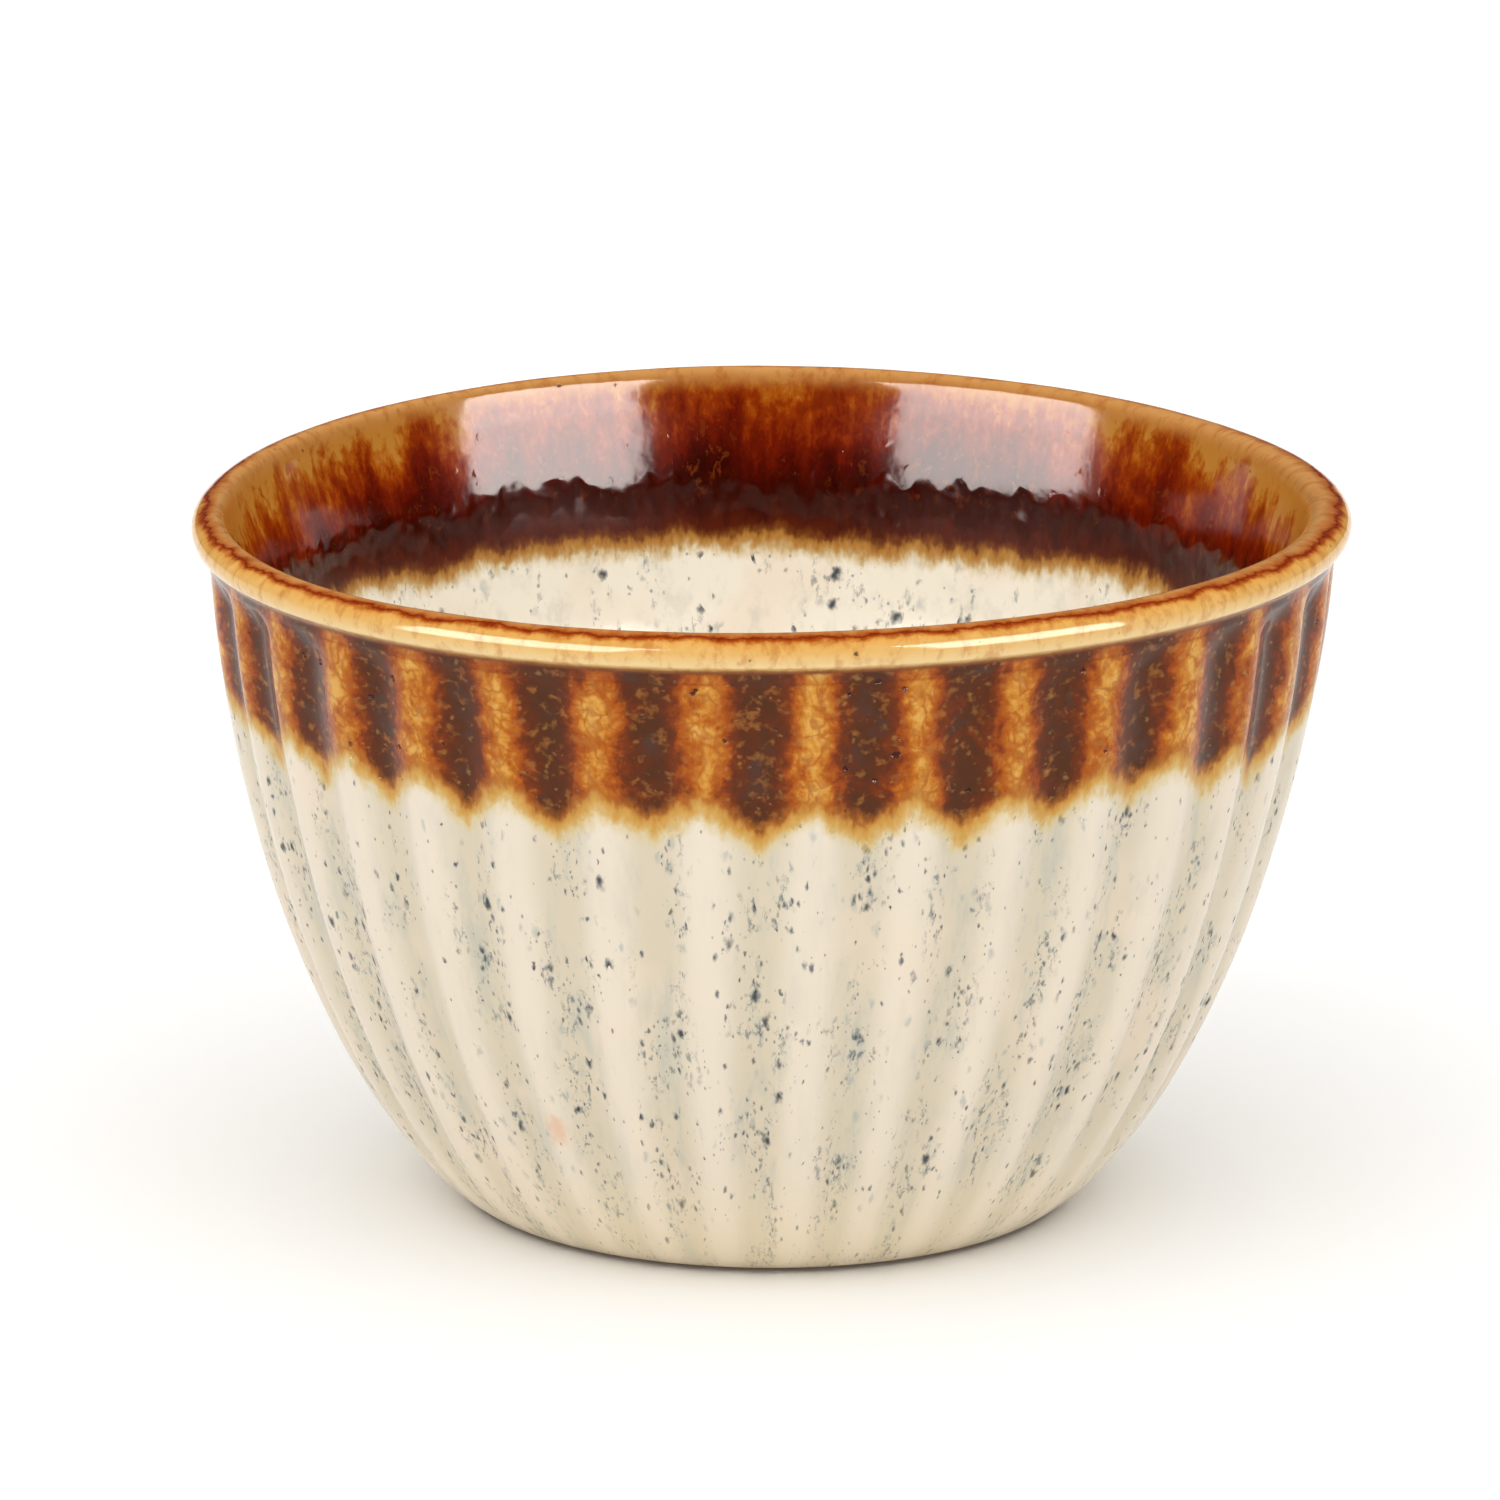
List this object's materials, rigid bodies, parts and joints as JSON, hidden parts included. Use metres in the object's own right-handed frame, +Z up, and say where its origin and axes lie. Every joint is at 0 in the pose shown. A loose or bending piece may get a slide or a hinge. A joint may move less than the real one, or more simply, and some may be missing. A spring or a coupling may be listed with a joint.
{
  "type": "matcha bowl",
  "caption": "Fluted stoneware tea bowl on a low foot ring, with a rolled lip, a cream speckled glaze and a brown glaze round the rim.",
  "frame": {"origin": "centre of the circle on which the foot ring rests", "axes": "+Z up along the bowl's own axis, out through the mouth; X and Y lie in the resting plane, with one flute's middle on -Y"},
  "size_m": [0.12, 0.12, 0.0744],
  "materials": {
    "fired_clay": "bare fired stoneware, matte, fine grained, on the foot and under the glaze",
    "cream_glaze": "glossy opaque cream glaze with blue-black iron speckles, thicker and greyer in the flutes",
    "brown_glaze": "glossy iron glaze, dark brown in the flutes, amber on the ridges and honey coloured on the lip"
  },
  "bodies": {
    "root": {"clay_body": "fired_clay", "foot_ring": "fired_clay", "cream_glaze_outside": "cream_glaze", "cream_glaze_inside": "cream_glaze", "brown_rim_glaze": "brown_glaze"}
  },
  "joints": []
}
